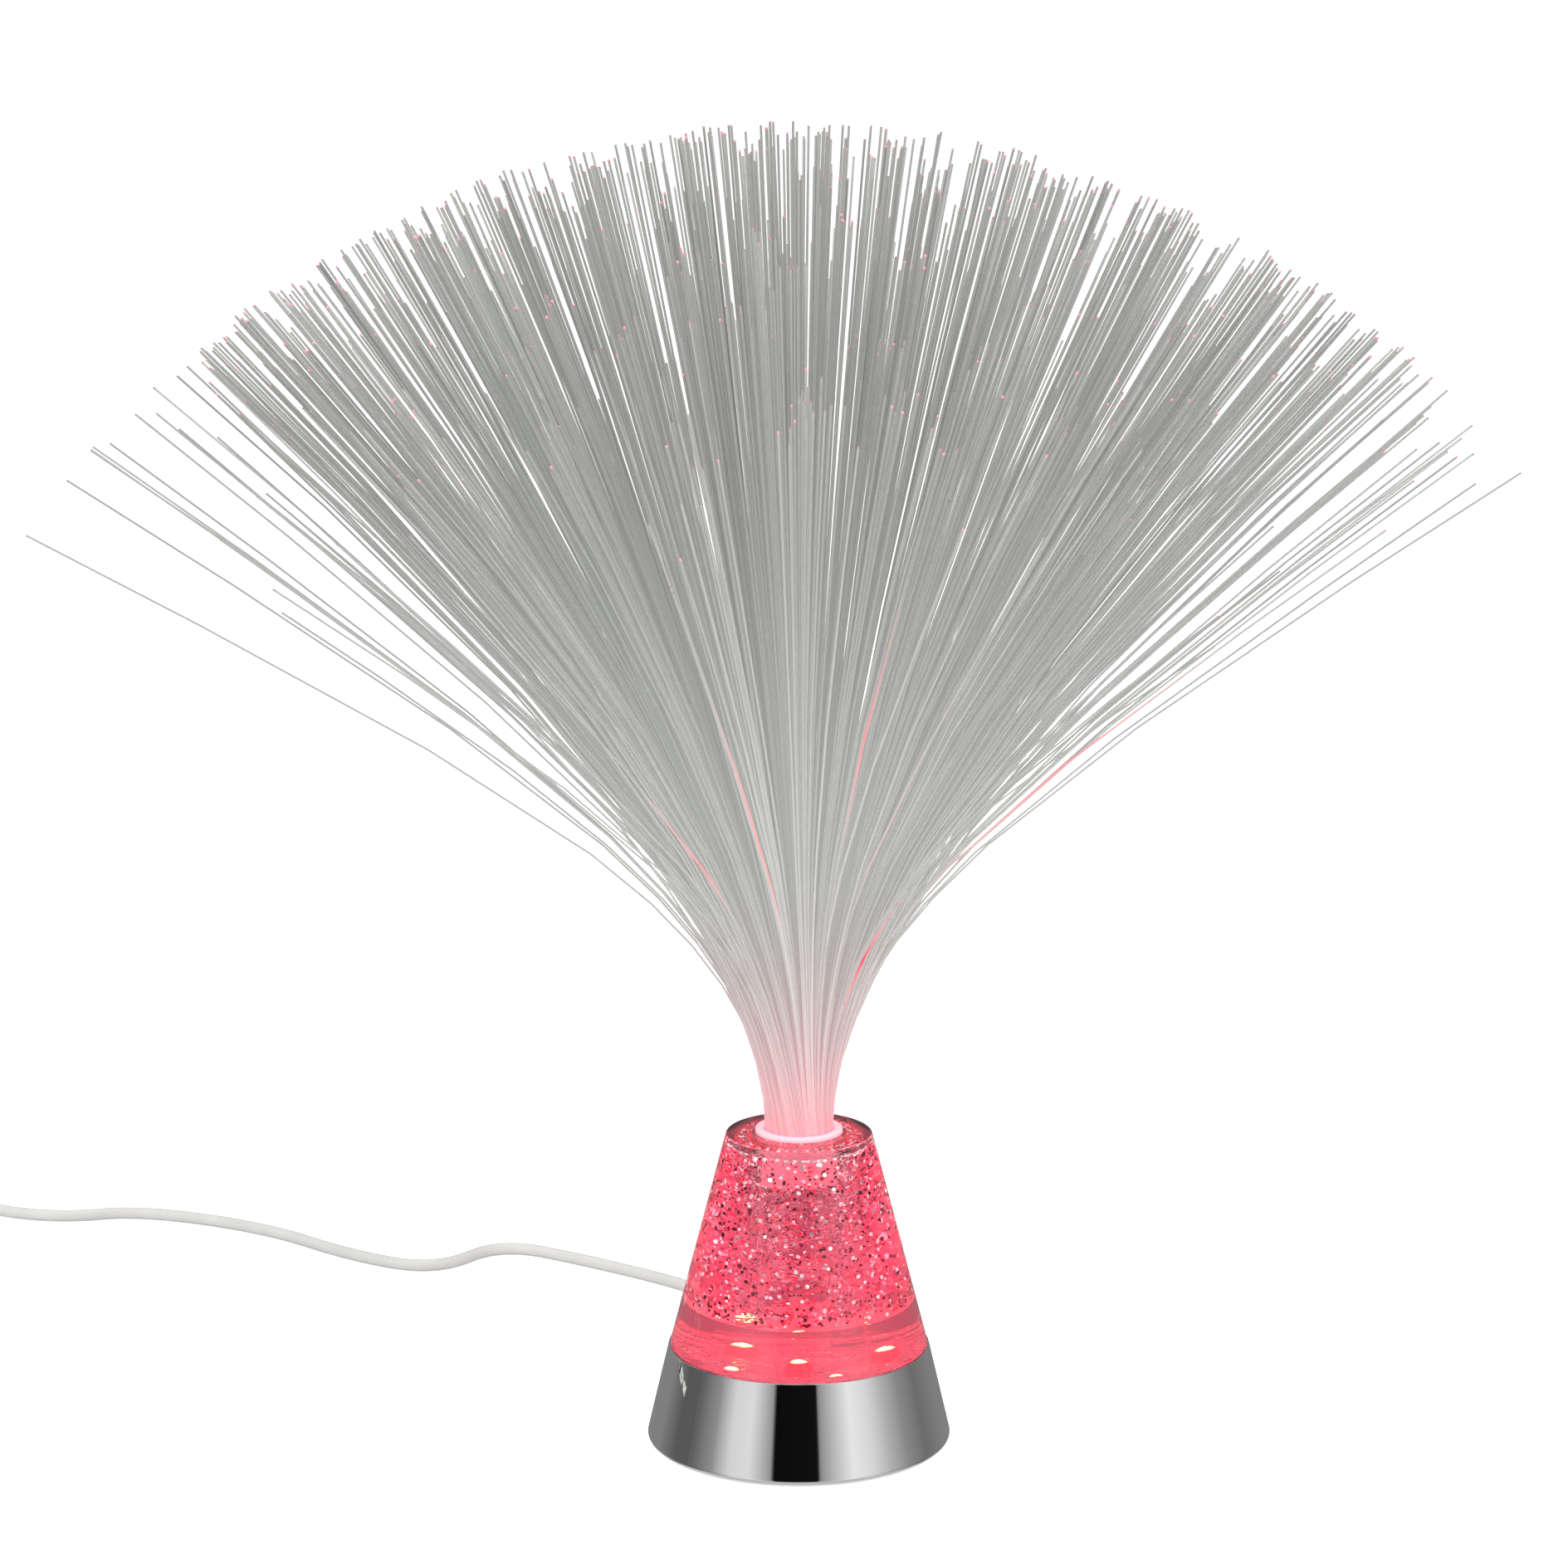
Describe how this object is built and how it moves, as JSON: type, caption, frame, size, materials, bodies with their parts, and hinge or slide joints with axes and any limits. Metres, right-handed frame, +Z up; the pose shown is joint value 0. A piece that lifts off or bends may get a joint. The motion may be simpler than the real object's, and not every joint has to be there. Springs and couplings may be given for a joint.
{
  "type": "fiber optic lamp",
  "caption": "Table lamp with a chrome base, a clear cone of liquid and glitter, and a lift-out head of plastic fibres lit from below.",
  "frame": {"origin": "centre of the round pad's lower face, on the table, on the lamp's axis", "axes": "+Z up along the lamp's axis, -Y the front, +Y the back where the cord leaves, +X the right seen from the front"},
  "size_m": [0.5135, 0.3731, 0.3413],
  "materials": {
    "chrome_plating": "bright chrome plating on die-cast zinc",
    "clear_acrylic": "clear polished acrylic",
    "glitter_liquid": "clear liquid with silver flakes, lit red from below",
    "translucent_white": "translucent white moulded plastic",
    "fibre": "clear optical acrylic fibre",
    "aluminium_sleeve": "thin drawn tube",
    "black_plastic": "fine-textured moulded ABS",
    "white_plastic": "white moulded ABS",
    "foam_pad": "soft foam disc",
    "silicone": "silicone rubber",
    "screw_steel": "zinc-plated steel",
    "circuit_board": "white solder resist on glass-epoxy board",
    "led_lens": "clear epoxy lens",
    "resistor": "chip resistor",
    "red_insulation": "red core insulation",
    "black_insulation": "black core insulation",
    "cord_sheath": "satin light grey cord sheath",
    "strap": "hook-and-loop strap",
    "brass": "stamped brass",
    "nickel_shell": "nickel-plated folded steel"
  },
  "bodies": {
    "lamp_base": {"base_skirt": "chrome_plating", "base_cover": "black_plastic", "cover_screws": "screw_steel", "foot_pad": "foam_pad", "cord_clamp": "black_plastic", "clamp_screws": "screw_steel", "cone_vessel": "clear_acrylic", "inner_tube": "clear_acrylic", "vessel_floor": "clear_acrylic", "fill_plug": "silicone", "glitter_liquid": "glitter_liquid", "led_carrier": "white_plastic", "carrier_screws": "screw_steel", "led_board": "circuit_board", "board_screws": "screw_steel", "leds": "led_lens", "led_resistors": "resistor", "strain_relief": "cord_sheath", "cord_inner": "cord_sheath", "lead_wire_red": "red_insulation", "lead_wire_black": "black_insulation", "cord_lead": "cord_sheath", "cord_tail_in": "cord_sheath", "cord_coil": "cord_sheath", "cord_tail_out": "cord_sheath", "coil_tie": "strap", "switch_case_bottom": "white_plastic", "switch_case_top": "white_plastic", "switch_screws": "screw_steel", "switch_terminals": "brass", "switch_wires": "red_insulation", "plug_grip": "cord_sheath", "plug_shell": "nickel_shell", "plug_tongue": "white_plastic", "plug_contacts": "brass"},
    "head_plug": {"head_collar": "translucent_white"},
    "fibre_bundle": {"bundle_sleeve": "aluminium_sleeve", "fibres_centre": "fibre", "fibres_ring_1": "fibre", "fibres_ring_2": "fibre", "fibres_ring_3": "fibre", "fibres_ring_4": "fibre", "fibres_ring_5": "fibre", "fibres_ring_6": "fibre"},
    "rocker": {"switch_rocker": "black_plastic", "contact_bridge": "brass"}
  },
  "joints": [
    {"name": "fibre_head_lift", "type": "slide", "parent": "lamp_base", "child": "head_plug", "axis": [0, 0, 1], "range_m": [0, 0.04]},
    {"name": "fibre_bundle_turn", "type": "hinge", "parent": "head_plug", "child": "fibre_bundle", "pos_m": [0, 0, 0.0833], "axis": [0, 0, 1], "continuous": true},
    {"name": "switch_rocker_tilt", "type": "hinge", "parent": "lamp_base", "child": "rocker", "pos_m": [-0.285, 0.193, 0.0085], "axis": [0, 1, 0], "range_deg": [0, 14]}
  ]
}
